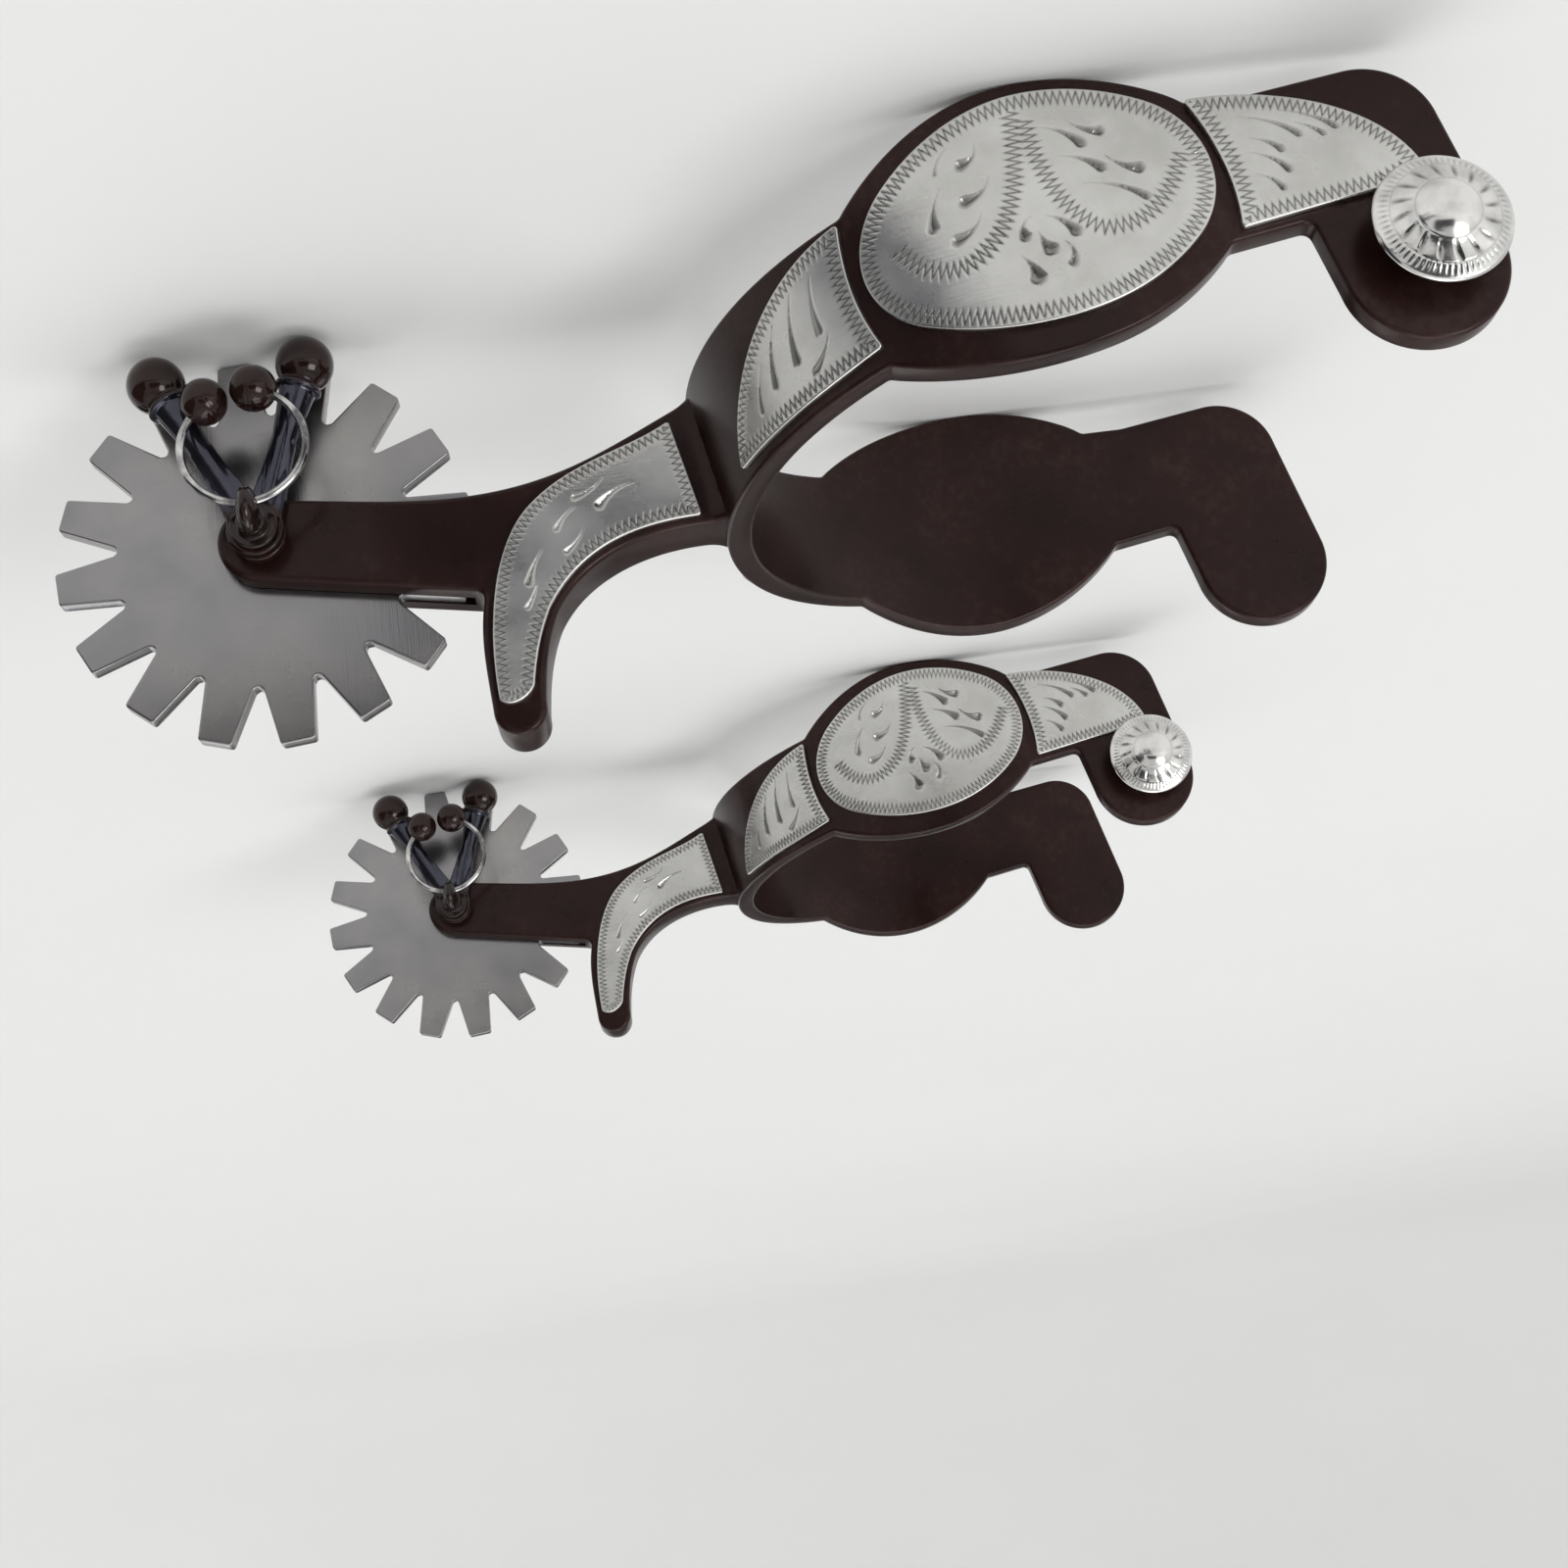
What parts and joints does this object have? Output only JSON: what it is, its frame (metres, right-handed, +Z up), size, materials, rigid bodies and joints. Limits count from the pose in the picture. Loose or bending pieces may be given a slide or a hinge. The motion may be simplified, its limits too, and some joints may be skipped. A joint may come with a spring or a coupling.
{
  "type": "pair of spurs",
  "caption": "Pair of western show spurs: forked shank with chap guard, spinning pointed rowel, jingle bobs and ring, and engraved silver overlays on a U-shaped heel band.",
  "frame": {"origin": "middle of the pair's footprint, on the surface it stands on", "axes": "+X towards the toe of the boot, +Y to the rider's left across the pair, +Z up as worn"},
  "size_m": [0.167, 0.2782, 0.0544],
  "materials": {
    "brown_steel": "antique brown finish, satin",
    "jingle_brown": "antique brown finish, gloss",
    "engraved_silver": "engraved silver overlay, satin with bright cuts",
    "button_silver": "engraved and polished silver",
    "rowel_steel": "satin ground steel",
    "bright_wire": "polished wire"
  },
  "bodies": {
    "root": {"left_heel_band": "brown_steel", "left_shank": "brown_steel", "left_guard_plate_l": "engraved_silver", "left_guard_plate_r": "engraved_silver", "left_wing_plate_l": "engraved_silver", "left_wing_plate_r": "engraved_silver", "left_rear_leaf_l": "engraved_silver", "left_rear_leaf_r": "engraved_silver", "left_front_leaf_l": "engraved_silver", "left_front_leaf_r": "engraved_silver", "left_button_l": "button_silver", "left_button_r": "button_silver", "left_button_post_l": "brown_steel", "left_button_post_r": "brown_steel", "left_rowel_pin": "brown_steel", "left_pin_washer": "brown_steel", "right_heel_band": "brown_steel", "right_shank": "brown_steel", "right_guard_plate_l": "engraved_silver", "right_guard_plate_r": "engraved_silver", "right_wing_plate_l": "engraved_silver", "right_wing_plate_r": "engraved_silver", "right_rear_leaf_l": "engraved_silver", "right_rear_leaf_r": "engraved_silver", "right_front_leaf_l": "engraved_silver", "right_front_leaf_r": "engraved_silver", "right_button_l": "button_silver", "right_button_r": "button_silver", "right_button_post_l": "brown_steel", "right_button_post_r": "brown_steel", "right_rowel_pin": "brown_steel", "right_pin_washer": "brown_steel"},
    "left_rowel_body": {"left_rowel": "rowel_steel"},
    "left_ring_body": {"left_jingle_ring": "bright_wire", "left_ring_ball_a": "jingle_brown", "left_ring_ball_b": "jingle_brown"},
    "left_bob_a_body": {"left_bob_a": "jingle_brown"},
    "left_bob_b_body": {"left_bob_b": "jingle_brown"},
    "right_rowel_body": {"right_rowel": "rowel_steel"},
    "right_ring_body": {"right_jingle_ring": "bright_wire", "right_ring_ball_a": "jingle_brown", "right_ring_ball_b": "jingle_brown"},
    "right_bob_a_body": {"right_bob_a": "jingle_brown"},
    "right_bob_b_body": {"right_bob_b": "jingle_brown"}
  },
  "joints": [
    {"name": "left_rowel_spin", "type": "hinge", "parent": "root", "child": "left_rowel_body", "pos_m": [-0.0581, 0.09, 0.0254], "axis": [0, 1, 0], "continuous": true},
    {"name": "left_bob_a_swing", "type": "hinge", "parent": "root", "child": "left_bob_a_body", "pos_m": [-0.0581, 0.0962, 0.0254], "axis": [0, 1, 0], "range_deg": [0, 170]},
    {"name": "left_bob_b_swing", "type": "hinge", "parent": "root", "child": "left_bob_b_body", "pos_m": [-0.0581, 0.0946, 0.0254], "axis": [0, 1, 0], "range_deg": [-44, 5]},
    {"name": "left_ring_flap", "type": "hinge", "parent": "root", "child": "left_ring_body", "pos_m": [-0.0581, 0.1004, 0.0236], "axis": [1, 0, 0], "range_deg": [0, 95]},
    {"name": "right_rowel_spin", "type": "hinge", "parent": "root", "child": "right_rowel_body", "pos_m": [-0.0581, -0.09, 0.0254], "axis": [0, 1, 0], "continuous": true},
    {"name": "right_bob_a_swing", "type": "hinge", "parent": "root", "child": "right_bob_a_body", "pos_m": [-0.0581, -0.0838, 0.0254], "axis": [0, 1, 0], "range_deg": [0, 170]},
    {"name": "right_bob_b_swing", "type": "hinge", "parent": "root", "child": "right_bob_b_body", "pos_m": [-0.0581, -0.0854, 0.0254], "axis": [0, 1, 0], "range_deg": [-44, 5]},
    {"name": "right_ring_flap", "type": "hinge", "parent": "root", "child": "right_ring_body", "pos_m": [-0.0581, -0.0796, 0.0236], "axis": [1, 0, 0], "range_deg": [0, 95]}
  ]
}
